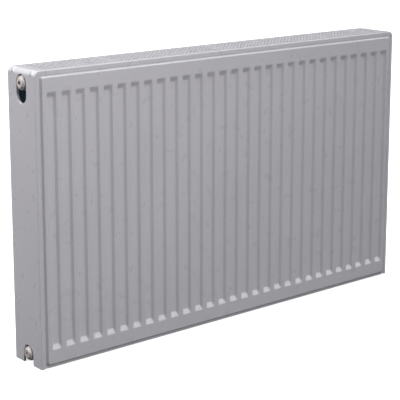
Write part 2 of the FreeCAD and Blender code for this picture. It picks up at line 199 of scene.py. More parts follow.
def from_arrays(verts, faces):
    """Closed bmesh from points and faces, which it turns outwards; a repeated face is skipped."""
    bm = bmesh.new()
    made = [bm.verts.new(v) for v in verts]
    for face in faces:
        try:
            bm.faces.new([made[i] for i in face])
        except ValueError:
            pass
    bmesh.ops.recalc_face_normals(bm, faces=bm.faces)
    return bm


def skin_rings(bm, rings, closed=True):
    """Quads from each ring or row of vertices to the next."""
    for one, two in zip(rings, rings[1:]):
        count = len(one)
        for i in range(count if closed else count - 1):
            k = (i + 1) % count
            bm.faces.new([one[i], one[k], two[k], two[i]])


def bake_modifiers(obj):
    """Replaces an object's mesh by the result of its modifiers."""
    bpy.context.view_layer.update()
    graph = bpy.context.evaluated_depsgraph_get()
    mesh = bpy.data.meshes.new_from_object(obj.evaluated_get(graph))
    old = obj.data
    obj.modifiers.clear()
    obj.data = mesh
    bpy.data.meshes.remove(old)
    return obj


def combine(obj, tool, operation):
    """Boolean of two objects; the tool is used up."""
    modifier = obj.modifiers.new("cut", "BOOLEAN")
    modifier.operation = operation
    modifier.object = tool
    modifier.solver = "EXACT"
    bake_modifiers(obj)
    bpy.data.objects.remove(tool)
    return obj


def bore(obj, *cylinder):
    return combine(obj, cylinder_tool(*cylinder), "DIFFERENCE")


def mirrored(obj, name, axis=0):
    """Copy of an object reflected through the origin plane across an axis."""
    mesh = obj.data.copy()
    flip = Matrix.Identity(4)
    flip[axis][axis] = -1
    mesh.transform(flip)
    mesh.flip_normals()
    copy = in_scene(bpy.data.objects.new(name, mesh))
    copy.location = flip @ obj.location
    return copy


def duplicate(obj, name, shift):
    """Copy of an object moved by a shift in millimetres."""
    copy = in_scene(bpy.data.objects.new(name, obj.data.copy()))
    copy.location = obj.location + Vector(shift) * MM
    return copy


def place(obj, body, slot, *nodes):
    """Puts a piece on its body, in the stead of its CAD nodes."""
    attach(obj, body)
    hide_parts(*nodes)
    placed.append(obj)
    return obj


def weigh_normals(obj):
    """Lets large flat faces decide the shading of the small roundings beside them."""
    modifier = obj.modifiers.new("normals", "WEIGHTED_NORMAL")
    modifier.keep_sharp = True
    bake_modifiers(obj)


def round_path(points, radius, steps=4):
    """Polyline with its corners rounded to a radius, as far as its runs allow."""
    points = [Vector(p) for p in points]
    out = []
    count = len(points)
    for i, p in enumerate(points):
        if i in (0, count - 1):
            out.append(p)
            continue
        before, after = points[i - 1] - p, points[i + 1] - p
        angle = before.angle(after)
        reach = min(radius / tan(angle / 2), 0.48 * before.length, 0.48 * after.length)
        a, b = p + before.normalized() * reach, p + after.normalized() * reach
        for k in range(steps + 1):
            t = k / steps
            out.append(a * (1 - t) ** 2 + p * 2 * t * (1 - t) + b * t ** 2)
    return out


def ribbon(path, thickness, width, u_axis, v_axis, origin, chamfer=0.25):
    """Bent strip: a flat path of (u, v) thickened both ways, with its width centred across the path."""
    w_axis = u_axis.cross(v_axis)
    t, w, c = thickness / 2, width / 2, min(chamfer, thickness * 0.3)
    section = [(t - c, -w), (t, -w + c), (t, w - c), (t - c, w), (c - t, w), (-t, w - c), (-t, c - w),
               (c - t, -w)]
    verts, faces = [], []
    for i, p in enumerate(path):
        before = (p - path[i - 1]).normalized() if i else None
        after = (path[i + 1] - p).normalized() if i < len(path) - 1 else None
        along = (before + after) if before and after else (before or after)
        along = along.normalized()
        stretch = 1 / max(0.5, along.dot(after or before))
        side = Vector((-along.y, along.x)) * stretch
        for a, b in section:
            flat = p + side * a
            verts.append(origin + u_axis * flat.x + v_axis * flat.y + w_axis * b)
    n = len(section)
    for i in range(len(path) - 1):
        for j in range(n):
            k = (j + 1) % n
            faces.append((i * n + j, i * n + k, (i + 1) * n + k, (i + 1) * n + j))
    last = (len(path) - 1) * n
    faces.append(tuple(reversed(range(n))))
    faces.append(tuple(range(last, last + n)))
    return from_arrays(verts, faces)


def joined(meshes):
    """One bmesh from several; the parts are used up."""
    whole = bmesh.new()
    for part in meshes:
        spare = bpy.data.meshes.new("spare")
        part.to_mesh(spare)
        part.free()
        whole.from_mesh(spare)
        bpy.data.meshes.remove(spare)
    return whole


def lathe(profile, centre, segments, thread=None):
    """Turned solid about a line parallel to X. The profile is a list of (x, radius). The thread is
    (x0, x1, depth): a helical groove between the two positions, where the radius is near THREAD_R.
    A positive depth cuts outwards, as in a port, and a negative one inwards, as on a plug."""
    verts, faces, rings = [], [], []
    for x, r in profile:
        if r < 1e-6:
            rings.append([len(verts)])
            verts.append(centre + Vector((x, 0, 0)))
            continue
        ring = []
        for k in range(segments):
            a = 2 * pi * k / segments
            radius = r
            if thread and thread[0] <= x <= thread[1] and abs(r - THREAD_R) < 0.5:
                phase = (x / THREAD_PITCH + k / segments) % 1
                fade = min(1, (x - thread[0]) / THREAD_FADE, (thread[1] - x) / THREAD_FADE)
                radius += thread[2] * fade * (1 - abs(2 * phase - 1))
            ring.append(len(verts))
            verts.append(centre + Vector((x, radius * cos(a), radius * sin(a))))
        rings.append(ring)
    for i in range(len(rings)):
        a, b = rings[i], rings[(i + 1) % len(rings)]
        if len(a) == 1 and len(b) == 1:
            continue
        if i == len(rings) - 1 and (len(a) == 1 or len(b) == 1):
            continue
        for k in range(segments):
            m = (k + 1) % segments
            if len(a) == 1:
                faces.append((a[0], b[k], b[m]))
            elif len(b) == 1:
                faces.append((a[k], b[0], a[m]))
            else:
                faces.append((a[k], b[k], b[m], a[m]))
    return from_arrays(verts, faces)


def run(x0, x1, r, step=0.22):
    """Closely spaced (x, radius) points along a threaded length."""
    count = max(2, int(abs(x1 - x0) / step))
    return [(x0 + (x1 - x0) * i / count, r) for i in range(count + 1)]


# ---- materials ----
class Nodes:
    """Small helper that builds a Principled material with object-space textures."""

    def __init__(self, name, **values):
        self.material = bpy.data.materials.new(name)
        self.material.use_nodes = True
        self.tree = self.material.node_tree
        self.shader = self.tree.nodes["Principled BSDF"]
        for socket, value in values.items():
            self.shader.inputs[socket.replace("_", " ")].default_value = value
        self.coords = self.add("ShaderNodeTexCoord").outputs["Object"]
        self.last_bump = None

    def add(self, kind, values=(), **settings):
        node = self.tree.nodes.new(kind)
        for key, value in settings.items():
            setattr(node, key, value)
        for socket, value in values:
            node.inputs[socket].default_value = value
        return node

    def link(self, source, target):
        self.tree.links.new(source, target)

    def stretched(self, scale):
        mapping = self.add("ShaderNodeMapping", [("Scale", scale)])
        self.link(self.coords, mapping.inputs["Vector"])
        return mapping.outputs["Vector"]

    def noise(self, scale, detail=3.0, rough=0.5, vector=None):
        node = self.add("ShaderNodeTexNoise",
                        [("Scale", scale), ("Detail", detail), ("Roughness", rough)])
        self.link(vector or self.coords, node.inputs["Vector"])
        return node.outputs["Fac"]

    def tint(self, source, low, high, stops=(0.3, 0.7)):
        """Base colour that runs from low to high as the source passes the two stops."""
        node = self.add("ShaderNodeValToRGB")
        for element, at, colour in zip(node.color_ramp.elements, stops, (low, high)):
            element.position = at
            element.color = (*colour, 1.0)
        self.link(source, node.inputs["Fac"])
        self.link(node.outputs["Color"], self.shader.inputs["Base Color"])

    def roughness(self, source, low, high):
        """Roughness from low to high as a noise goes from 0.3 to 0.7."""
        node = self.add("ShaderNodeMapRange",
                        [("From Min", 0.3), ("From Max", 0.7), ("To Min", low), ("To Max", high)])
        self.link(source, node.inputs["Value"])
        self.link(node.outputs["Result"], self.shader.inputs["Roughness"])

    def bump(self, height, distance, strength=1.0):
        node = self.add("ShaderNodeBump", [("Strength", strength), ("Distance", distance)])
        self.link(height, node.inputs["Height"])
        if self.last_bump:
            self.link(self.last_bump, node.inputs["Normal"])
        self.last_bump = node.outputs["Normal"]
        self.link(self.last_bump, self.shader.inputs["Normal"])


def grey(value, warm=0.0):
    return (value * (1 + warm), value, value * (1 - warm))


def enamel():
    """Gloss stoved powder coat: even white, faint clouding, fine orange peel."""
    m = Nodes("white_enamel", IOR=1.5, Coat_Weight=0.5, Coat_Roughness=0.12)
    m.tint(m.noise(5.0, 4.0, 0.55), (0.765, 0.762, 0.782), (0.800, 0.798, 0.812))
    m.roughness(m.noise(38.0, 2.0), 0.26, 0.35)
    m.bump(m.noise(320.0, 2.0, 0.4), 0.00012, 0.35)
    m.bump(m.noise(1500.0, 1.0), 0.00003, 0.25)
    return m.material


def shade_primer():
    """Dipped primer on the inner steel: flatter, thinner, a little uneven. Its dark blue-grey colour is
    painted shade for the dim inside of the panels, whose real steel is white.
    """
    m = Nodes("grey_primer", IOR=1.48)
    # the dark blue-grey of this ramp is painted shade for the inside of the panels
    m.tint(m.noise(14.0, 5.0, 0.6), (0.22, 0.32, 0.40), (0.28, 0.39, 0.48))
    m.roughness(m.noise(60.0), 0.5, 0.68)
    m.bump(m.noise(420.0, 3.0, 0.6), 0.00015, 0.4)
    m.bump(m.noise(9.0, 2.0), 0.0004, 0.25)
    return m.material


def zinc():
    """Bright zinc on spring steel, with rolling lines and small spangles."""
    m = Nodes("spring_steel", Metallic=1.0, Anisotropic=0.35)
    spangle = m.add("ShaderNodeTexVoronoi", [("Scale", 420.0)])
    m.link(m.coords, spangle.inputs["Vector"])
    m.tint(spangle.outputs["Distance"], grey(0.50), grey(0.66, 0.02), (0.0, 0.8))
    m.roughness(m.noise(240.0), 0.28, 0.46)
    m.bump(m.noise(60.0, 4.0, 0.7, m.stretched((1, 60, 8))), 0.00005, 0.5)
    return m.material


def turned_metal(name, low, high, rough, metallic):
    """Turned and plated metal: concentric tool marks round the X axis and a little tarnish."""
    m = Nodes(name, Metallic=metallic, Specular_Tint=(1, 0.97, 0.93, 1))
    m.tint(m.noise(260.0, 4.0, 0.6), low, high)
    m.roughness(m.noise(500.0), rough, rough + 0.14)
    rings = m.add("ShaderNodeTexWave", [("Scale", 620.0), ("Distortion", 0.6)],
                  wave_type="RINGS", rings_direction="X", wave_profile="SIN")
    m.link(m.coords, rings.inputs["Vector"])
    m.bump(rings.outputs["Fac"], 0.00003, 0.5)
    return m.material


def plastic():
    """Moulded plastic of the swivel nozzle, slightly yellowed."""
    m = Nodes("nozzle_plastic", IOR=1.46, Subsurface_Weight=0.08, Subsurface_Scale=0.002)
    m.tint(m.noise(150.0, 3.0), (0.76, 0.70, 0.66), (0.82, 0.765, 0.725))
    m.roughness(m.noise(300.0), 0.36, 0.5)
    m.bump(m.noise(2600.0, 2.0), 0.00002, 0.4)
    return m.material


def rubber():
    """Matt black rubber of the seals."""
    m = Nodes("seal_rubber", Roughness=0.62, IOR=1.5)
    m.tint(m.noise(700.0, 3.0), grey(0.018), grey(0.034))
    m.bump(m.noise(1400.0, 2.0), 0.00004, 0.6)
    return m.material


ENAMEL = enamel()
# the dark blue-grey primer on the inner sheets and fins is painted shade
SHADE_PRIMER = shade_primer()
ZINC = zinc()
NICKEL = turned_metal("nickel_plate", (0.82, 0.76, 0.72), (0.90, 0.85, 0.81), 0.40, 0.3)
BRASS = turned_metal("brass", (0.30, 0.22, 0.16), (0.44, 0.33, 0.24), 0.34, 1.0)
PLASTIC = plastic()
RUBBER = rubber()


# ---- pressed sheets ----
def soft_step(t):
    """0 below 0 and 1 above 1, straight between, with rounded ends."""
    def soft(s):
        return np.where(s <= -BEND, 0, np.where(s >= BEND, s, (s + BEND) ** 2 / (4 * BEND)))
    return soft(t) - soft(t - 1)


def soft_min(a, b, blend=0.35):
    near = np.clip(1 - np.abs(a - b) / blend, 0, None)
    return np.minimum(a, b) - blend / 4 * near ** 2


def rect_depth(x, z, x0, x1, z0, z1, corner):
    """How far inside a rounded rectangle a point is; negative outside."""
    dx = np.abs(x - (x0 + x1) / 2) - (x1 - x0) / 2 + corner
    dz = np.abs(z - (z0 + z1) / 2) - (z1 - z0) / 2 + corner
    outside = np.hypot(np.maximum(dx, 0), np.maximum(dz, 0))
    return corner - outside - np.minimum(np.maximum(dx, dz), 0)


def pressing(x, z):
    """Height of the pressed form above the weld flange, as a share of PRESS."""
    raised = rect_depth(x, z, -HALF_LENGTH + RAISED_SIDE, HALF_LENGTH - RAISED_SIDE, RAISED_LOW,
                        RAISED_HIGH, RAISED_CORNER)
    column = np.clip(np.round((x + HALF_LENGTH) / PITCH), 1, GROOVES)
    side = (GROOVE_HALF - np.abs(x + HALF_LENGTH - PITCH * column)) / GROOVE_FLANK
    end = np.minimum(z - GROOVE_LOW, GROOVE_HIGH - z) / GROOVE_CAP
    return soft_step(raised / EDGE_FLANK) * (1 - soft_step(soft_min(side, end)))


def seam(x, z):
    """Depth of the roller seam weld that runs round the flange."""
    inside = rect_depth(x, z, -HALF_LENGTH, HALF_LENGTH, 0, PANEL_TOP, CORNER_R)
    return SEAM_DEPTH * np.clip(1 - ((inside - SEAM_IN) / SEAM_HALF) ** 2, 0, None)


def sheet_lines():
    """Grid lines of a sheet: close at the bends and far apart on the flats."""
    bends = (-BEND, -BEND / 3, BEND / 3, BEND, 1 - BEND, 1 - BEND / 3, 1 + BEND / 3, 1 + BEND)
    xs = []
    for i in range(GROOVES):
        centre = -HALF_LENGTH + PITCH * (i + 1)
        for t in bends:
            reach = GROOVE_HALF - GROOVE_FLANK * t
            xs += [centre - reach, centre + reach]
        xs += [centre, centre + PITCH / 2]
    edge = [0.0, 0.8, 2.0, 3.0, 4.2, 5.4, 6.4, 7.6] + [RAISED_SIDE + EDGE_FLANK * t for t in bends]
    xs += [-HALF_LENGTH + e for e in edge] + [HALF_LENGTH - e for e in edge]
    xs += [-HALF_LENGTH + 19.0]
    caps = sorted(bends + (0.35, 0.5, 0.65))
    zs = [GROOVE_LOW + GROOVE_CAP * t for t in caps] + [GROOVE_HIGH - GROOVE_CAP * t for t in caps]
    low = [0.0, 0.6, 1.5, 2.4, 3.3, 13.0, 18.0, 26.0]
    low += [RAISED_LOW + EDGE_FLANK * t for t in bends]
    high = [0.0, 0.6, 1.5, 2.5, 3.5, 4.6, 5.8, 16.0, 24.0, 32.0]
    high += [FLANGE_TOP + EDGE_FLANK * t for t in bends]
    zs += low + [PANEL_TOP - h for h in high] + [120.0, 210.0, 300.0, 390.0, 480.0]
    return np.unique(np.round(xs, 4)), np.unique(np.round(zs, 4))


def pressed_sheet(name, weld_y, outward, material):
    """One pressed sheet with its rounded corners, raised form, grooves, seam track and cut edges."""
    xs, zs = sheet_lines()
    x, z = np.meshgrid(xs, zs)
    end = np.minimum(z, PANEL_TOP - z)
    bite = CORNER_R - np.sqrt(np.clip(CORNER_R ** 2 - np.clip(CORNER_R - end, 0, None) ** 2, 0, None))
    inner = HALF_LENGTH - END_REACH
    beyond = np.abs(x) > inner
    squeezed = np.sign(x) * (inner + (np.abs(x) - inner) * (END_REACH - bite) / END_REACH)
    x = np.where(beyond, squeezed, x)
    height = pressing(x, z) * PRESS
    dip = seam(x, z)
    face = weld_y + outward * (SHEET + height - dip)
    back = weld_y + outward * height
    rows, columns = x.shape

    def loop():
        yield from ((0, j) for j in range(columns - 1))
        yield from ((i, columns - 1) for i in range(rows - 1))
        yield from ((rows - 1, j) for j in range(columns - 1, 0, -1))
        yield from ((i, 0) for i in range(rows - 1, 0, -1))
    border = list(loop())
    inset = np.zeros((rows, columns, 2))
    for k, (i, j) in enumerate(border):
        a, b = border[k - 1], border[(k + 1) % len(border)]
        tangent = Vector((x[b] - x[a], z[b] - z[a])).normalized()
        inset[i, j] = (-tangent.y * RIM, tangent.x * RIM)
    outer = np.stack([x + inset[..., 0], face, z + inset[..., 1]], -1).reshape(-1, 3)
    hidden = np.stack([x + inset[..., 0], back, z + inset[..., 1]], -1).reshape(-1, 3)
    rim_a = np.array([(x[i, j], face[i, j] - outward * RIM, z[i, j]) for i, j in border])
    rim_b = np.array([(x[i, j], back[i, j] + outward * RIM, z[i, j]) for i, j in border])
    verts = np.concatenate([outer, hidden, rim_a, rim_b])
    size, around = rows * columns, len(border)
    faces = []
    for i in range(rows - 1):
        for j in range(columns - 1):
            a = i * columns + j
            quad = (a, a + 1, a + columns + 1, a + columns)
            faces.append(quad)
            faces.append(tuple(reversed([size + q for q in quad])))
    for k, (i, j) in enumerate(border):
        m = (k + 1) % around
        a, b = i * columns + j, border[m][0] * columns + border[m][1]
        faces.append((b, a, 2 * size + k, 2 * size + m))
        faces.append((2 * size + m, 2 * size + k, 2 * size + around + k, 2 * size + around + m))
        faces.append((2 * size + around + m, 2 * size + around + k, size + a, size + b))
    mesh = bpy.data.meshes.new(name)
    mesh.from_pydata((verts * MM).tolist(), [], faces)
    if outward > 0:
        mesh.flip_normals()
    mesh.materials.append(material)
    obj = in_scene(bpy.data.objects.new(name, mesh))
    shade(obj, 50)
    return obj


def cylinder_tool(radius, start, end, axis, centre, segments):
    """Plain cylinder in millimetres, used up as a cutting tool."""
    bm = bmesh.new()
    bmesh.ops.create_cone(bm, cap_ends=True, segments=segments, radius1=radius, radius2=radius,
                          depth=abs(end - start))
    turn = Z.rotation_difference(axis).to_matrix().to_4x4()
    bmesh.ops.transform(bm, matrix=Matrix.Translation(centre + axis * (start + end) / 2) @ turn,
                        verts=bm.verts)
    return finish_mesh("tool", bm, None)


front_weld = sheet_hi.y
rear_weld = box("rear_panel_outer_sheet")[0].y
sheets = {
    "front_panel_outer": pressed_sheet("front_panel_outer", front_weld, -1, ENAMEL),
    "front_panel_inner": pressed_sheet("front_panel_inner", front_weld, 1, SHADE_PRIMER),
    "rear_panel_inner": pressed_sheet("rear_panel_inner", rear_weld, -1, SHADE_PRIMER),
    "rear_panel_outer": pressed_sheet("rear_panel_outer", rear_weld, 1, ENAMEL),
}
for piece, y in (("front_panel_inner", front_weld), ("rear_panel_inner", rear_weld)):
    for x in (-CROSS_X, CROSS_X):
        for z in (PORT_LOW, PORT_HIGH):
            bore(sheets[piece], CROSS_BORE, -12, 12, Y, Vector((x, y, z)), 40)
    shade(sheets[piece], 50)
for piece, obj in sheets.items():
    slot = "white_enamel" if piece.endswith("outer") else "grey_primer"
    place(obj, "radiator", slot, piece + "_sheet")


# ---- convectors ----
def convector(name):
    """Corrugated fin sheet on the back of the front panel."""
    near, far = fin_lo.y + FIN_GAUGE / 2, fin_hi.y - FIN_GAUGE / 2
    path = []
    for i in range(GROOVES - 1):
        x = -HALF_LENGTH + PITCH * (i + 1.5)
        path += [(x - FIN_FLAT, near), (x + FIN_FLAT, near)]
        if i < GROOVES - 2:
            path += [(x + PITCH / 2 - FIN_FLAT, far), (x + PITCH / 2 + FIN_FLAT, far)]
    middle = Vector((0, 0, (fin_lo.z + fin_hi.z) / 2))
    fins = ribbon(round_path(path, 2.6), FIN_GAUGE, fin_hi.z - fin_lo.z, X, Y, middle, 0.12)
    return finish_mesh(name, fins, SHADE_PRIMER, 50)


fins = place(convector("front_convector_fins"), "radiator", "grey_primer", "front_convector")
rear_fins = mirrored(fins, "rear_convector_fins", 1)
place(rear_fins, "radiator", "grey_primer", "rear_convector")


# ---- corner tees ----
def corner_tee(name):
    """Threaded boss and cross tube of the upper left corner, with weld beads at the tube's ends."""
    face, centre = tee_lo.x, UPPER
    bore_end = face + THREAD_DEPTH
    back = -CROSS_X - 3.0
    profile = ([(back, 0), (back, BOSS_R - 0.8), (back - 0.8, BOSS_R), (face + 0.9, BOSS_R),
                (face + 0.25, BOSS_R - 0.3), (face, BOSS_R - 0.9), (face, THREAD_R + 1.6),
                (face + 1.3, THREAD_R)]
               + run(face + 1.5, bore_end - 0.4, THREAD_R) + [(bore_end, THREAD_R), (bore_end, 0)])
    boss = lathe(profile, centre, 80, (face + 1.5, bore_end - 0.4, THREAD_HEIGHT))
    tee = finish_mesh(name, boss, ENAMEL)
    half = tee_hi.y
    axis = Vector((-CROSS_X, 0, PORT_HIGH))
    combine(tee, cylinder_tool(CROSS_R, -half, half, Y, axis, 72), "UNION")
    bore(tee, CROSS_BORE, -half - 1, half + 1, Y, axis, 60)
    bore(tee, THROAT_R, bore_end - 1, -CROSS_X, X, centre, 60)
    for side in (-1, 1):
        combine(tee, weld_bead(axis + Y * side * (half - 0.9), side), "UNION")
    shade(tee, 35)
    return tee


def weld_bead(centre, seed):
    """Rippled ring of weld metal round the cross tube, a hair inside the sheet's face."""
    bm = bmesh.new()
    rings = []
    turns, around = 150, 14
    for i in range(turns):
        a = 2 * pi * i / turns
        ripple = 0.13 * sin(a * 46 + seed) + 0.08 * sin(a * 7 + 2 * seed)
        rings.append([])
        for j in range(around):
            b = 2 * pi * j / around
            across = max(-0.85, min(0.85, (1.45 + ripple) * sin(b) * 0.8))
            r = CROSS_R + 0.5 + (WELD_R + ripple) * cos(b)
            spot = centre + Vector((r * cos(a), across, r * sin(a)))
            rings[-1].append(bm.verts.new(spot))
    skin_rings(bm, rings + rings[:1])
    bmesh.ops.recalc_face_normals(bm, faces=bm.faces)
    return finish_mesh("bead", bm, None)


upper_left = corner_tee("upper_left_tee_body")
drop = (0, 0, PORT_LOW - PORT_HIGH)
lower_left = duplicate(upper_left, "lower_left_tee_body", drop)
upper_right = mirrored(upper_left, "upper_right_tee_body")
lower_right = duplicate(upper_right, "lower_right_tee_body", drop)
for obj, node in ((upper_left, "upper_left_tee"), (lower_left, "lower_left_tee"),
                  (upper_right, "upper_right_tee"), (lower_right, "lower_right_tee")):
    place(obj, "radiator", "white_enamel", node)


# ---- side covers ----
def slot_outline(low, high, open_end, steps=20):
    """Round-ended opening as (y, z, outward y, outward z). An open one starts and ends at the cover's
    bottom edge."""
    points = []
    if open_end:
        points += [(-SLOT_R, 0.0, -1, 0)]
    else:
        for k in range(steps + 1):
            a = pi * k / steps
            c, s = cos(a), sin(a)
            points.append((SLOT_R * c, low - SLOT_R * s, c, -s))
    for k in range(steps + 1):
        a = pi * (1 - k / steps)
        c, s = cos(a), sin(a)
        points.append((SLOT_R * c, high + SLOT_R * s, c, s))
    if open_end:
        points += [(SLOT_R, 0.0, 1, 0)]
    return points


def side_cover(name):
    """Pressed left end cover, drawn as its outer skin and then thickened inwards."""
    wall_x, top_z = cover_lo.x, cover_hi.z
    r, turn_z = COVER_ROUND, top_z - COVER_ROUND
    arc_end = turn_z + r * pi / 2
    strip_end = arc_end + (cover_hi.x - (wall_x + r))
    half_y = cover_hi.y - EDGE_ROUND
    arc_rows = [turn_z + (arc_end - turn_z) * k / 12 for k in range(13)]
    rows = [0.0] + [turn_z * k / 8 for k in range(1, 8)] + arc_rows + [arc_end + 6.0, strip_end]

    # u is the distance up the wall, round the shoulder and along the top strip
    def inward(u):
        theta = min(max((u - turn_z) / r, 0), pi / 2)
        return Vector((cos(theta), 0, -sin(theta)))

    def skin(u, y, rise=0.0):
        n = inward(u)
        if u <= turn_z:
            p = Vector((wall_x, y, u))
        elif u <= arc_end:
            p = Vector((wall_x + r, y, turn_z)) - n * r
        else:
            p = Vector((wall_x + r + u - arc_end, y, top_z))
        return p - n * rise

    def root(u):
        """Inner end (x, z) of the side lip beside the skin at u."""
        if u <= turn_z:
            return wall_x + COVER_LIP, u
        if u <= arc_end:
            return wall_x + COVER_LIP, BAND_LOW
        return wall_x + r + u - arc_end, BAND_LOW

    # flat pattern of the wall, shoulder and top strip, as (u, y)
    points, edges = [], []

    def chain(coords, closed):
        start = len(points)
        points.extend(Vector(c) for c in coords)
        count = len(coords)
        last = count if closed else count - 1
        edges.extend((start + i, start + (i + 1) % count) for i in range(last))

    upper = slot_outline(PORT_HIGH - COVER_LIFT, PORT_HIGH, False)
    lower = slot_outline(0, PORT_LOW, True)
    grown_upper, grown_lower = (
        [(z + nz * COLLAR_BEND, y + ny * COLLAR_BEND) for y, z, ny, nz in opening]
        for opening in (upper, lower))
    chain([(u, -half_y) for u in reversed(rows)] + grown_lower + [(u, half_y) for u in rows], True)
    chain(grown_upper, True)
    for u in arc_rows + [arc_end + 6.0]:
        chain([(u, -half_y), (u, half_y)], False)
    u0, u1 = turn_z + 1.2, arc_end - 1.2
    for y in (-LANCE_Y, LANCE_Y):
        a, b = y - LANCE_HALF, y + LANCE_HALF
        chain([(u0 + 0.5, a), (u1 - 0.5, a), (u1, y), (u1 - 0.5, b), (u0 + 0.5, b), (u0, y)], True)
        for k in range(1, 5):
            chain([(u0, a - LANCE_WIDTH * k / 4), (u1, a - LANCE_WIDTH * k / 4)], False)
    flat, _, triangles, *_ = delaunay_2d_cdt(points, edges, [], 0, 1e-5)

    def in_slot(u, y, low, high):
        """Whether a point of the flat pattern is inside an opening or its collar's bend."""
        near = min(max(u, low), high)
        return hypot(u - near, y) < SLOT_R + COLLAR_BEND - 0.02

    def rise(u, y):
        """Height of the louvres above the skin."""
        lift = 0.0
        if u0 < u < u1:
            for at in (-LANCE_Y, LANCE_Y):
                t = (at - LANCE_HALF - y) / LANCE_WIDTH
                if -0.01 <= t < 1:
                    crown = sin(pi * (u - u0) / (u1 - u0)) ** 0.7
                    lift += LANCE_RISE * crown * (1 - t) ** 1.5
        return lift

    bm = bmesh.new()
    made = [bm.verts.new(skin(p.x, p.y, rise(p.x, p.y))) for p in flat]
    for tri in triangles:
        cu = sum(flat[i].x for i in tri) / 3
        cy = sum(flat[i].y for i in tri) / 3
        if in_slot(cu, cy, PORT_HIGH - COVER_LIFT, PORT_HIGH):
            continue
        if in_slot(cu, cy, -60, PORT_LOW):
            continue
        if any(abs(cy - at) < LANCE_HALF and u0 < cu < u1 for at in (-LANCE_Y, LANCE_Y)):
            continue
        bm.faces.new([made[i] for i in tri])

    def quads(grid, closed=False):
        """Faces over a list of rows of points."""
        skin_rings(bm, [[bm.verts.new(p) for p in line] for line in grid], closed)

    steps = 5
    for side in (-1, 1):
        grid = []
        for k in range(steps + 1):
            phi = pi / 2 * k / steps
            line = []
            for u in rows:
                p = skin(u, side * half_y) + inward(u) * EDGE_ROUND * (1 - cos(phi))
                line.append(p + Y * side * EDGE_ROUND * sin(phi))
            grid.append(line)
        inner = []
        for u in rows:
            x, z = root(u)
            inner.append(Vector((x, side * (half_y + EDGE_ROUND), z)))
        grid.append([a.lerp(b, 0.5) for a, b in zip(grid[-1], inner)])
        grid.append(inner)
        quads(grid)
    for outline, closed in ((upper, True), (lower, False)):
        grid = []
        for k in range(steps + 1):
            phi = pi / 2 * k / steps
            grow = COLLAR_BEND * (1 - sin(phi))
            x = wall_x + COLLAR_BEND * (1 - cos(phi))
            grid.append([Vector((x, y + ny * grow, z + nz * grow)) for y, z, ny, nz in outline])
        end = wall_x + COVER_SHEET + COLLAR
        grid.append([Vector((end, y, z)) for y, z, ny, nz in outline])
        quads(grid, closed)

    bmesh.ops.remove_doubles(bm, verts=bm.verts, dist=2e-3)
    bmesh.ops.dissolve_degenerate(bm, dist=1e-3, edges=bm.edges)
    bmesh.ops.recalc_face_normals(bm, faces=bm.faces)
    bm.faces.ensure_lookup_table()
    wall = max(bm.faces, key=lambda f: f.calc_area())
    if wall.normal.x > 0.5 or wall.normal.z < -0.5:
        bmesh.ops.reverse_faces(bm, faces=bm.faces)
    cover = finish_mesh(name, bm, ENAMEL)
    solid = cover.modifiers.new("sheet", "SOLIDIFY")
    solid.thickness = COVER_SHEET * MM
    solid.offset = -1
    solid.use_even_offset = True
    bevel = cover.modifiers.new("edges", "BEVEL")
    bevel.width = 0.22 * MM
    bevel.segments = 2
    bevel.limit_method = "ANGLE"
    bevel.angle_limit = radians(55)
    bake_modifiers(cover)
    shade(cover, 40)
    return cover


left_cover = side_cover("left_end_cover")
right_cover = mirrored(left_cover, "right_end_cover")
place(left_cover, "left_cover", "white_enamel", "left_side_cover")
place(right_cover, "right_cover", "white_enamel", "right_side_cover")


# ---- clips, hooks, bridges, lugs ----
def clip_places():
    """Where each clip of one end sits, as (y, z)."""
    return [(y, z) for z in (PORT_LOW, PORT_HIGH) for y in (-CLIP_Y, CLIP_Y)]


def cover_clips(name):
    """Spring hoops round the left cross tubes, each with a tongue for a hook."""
    clips = []
    turn = [radians(a) for a in range(CLIP_MOUTH, 361 - CLIP_MOUTH, 8)]
    hoop = [Vector((CLIP_GRIP * cos(a), CLIP_GRIP * sin(a))) for a in turn]
    arm = round_path([(-CLIP_GRIP, 0), (-CLIP_ARM, 0), (-CLIP_ARM, TONGUE_TOP)], 1.6)
    for y, z in clip_places():
        at = Vector((-CROSS_X, y, z))
        clips.append(ribbon(hoop, CLIP_GAUGE, CLIP_WIDTH, X, Z, at))
        clips.append(ribbon(arm, CLIP_GAUGE, TONGUE_WIDTH, X, Z, at))
    return finish_mesh(name, joined(clips), ZINC)


def cover_hooks(name):
    """Bent straps inside the left cover's wall that hang over the tongues."""
    wall = box("left_cover_hooks")[0].x
    near, far = wall + HOOK_GAUGE / 2, wall + HOOK_REACH
    path = round_path([(near, HOOK_FOOT), (near, HOOK_TOP), (far, HOOK_TOP), (far, HOOK_FOOT)], 1.4)
    hooks = [ribbon(path, HOOK_GAUGE, CLIP_WIDTH, X, Z, Vector((0, y, z))) for y, z in clip_places()]
    return finish_mesh(name, joined(hooks), ZINC)


left_clips = place(cover_clips("left_spring_clips"), "radiator", "spring_steel", "left_cover_clips")
right_clips = mirrored(left_clips, "right_spring_clips")
place(right_clips, "radiator", "spring_steel", "right_cover_clips")
left_hooks = place(cover_hooks("left_hook_set"), "left_cover", "spring_steel", "left_cover_hooks")
right_hooks = mirrored(left_hooks, "right_hook_set")
place(right_hooks, "right_cover", "spring_steel", "right_cover_hooks")


def bridges(name):
    """Bent straps from panel to panel under the grille."""
    y, top, low = bridge_hi.y - BRIDGE_GAUGE / 2, bridge_hi.z - BRIDGE_GAUGE / 2, bridge_lo.z
    path = round_path([(-y, low), (-y, top), (y, top), (y, low)], 1.8, 5)
    straps = [ribbon(path, BRIDGE_GAUGE, BRIDGE_WIDTH, Y, Z, X * x)
              for x in (-BRIDGE_STEP, 0, BRIDGE_STEP)]
    return finish_mesh(name, joined(straps), ZINC)


place(bridges("grille_bridge_set"), "radiator", "spring_steel", "grille_bridges")


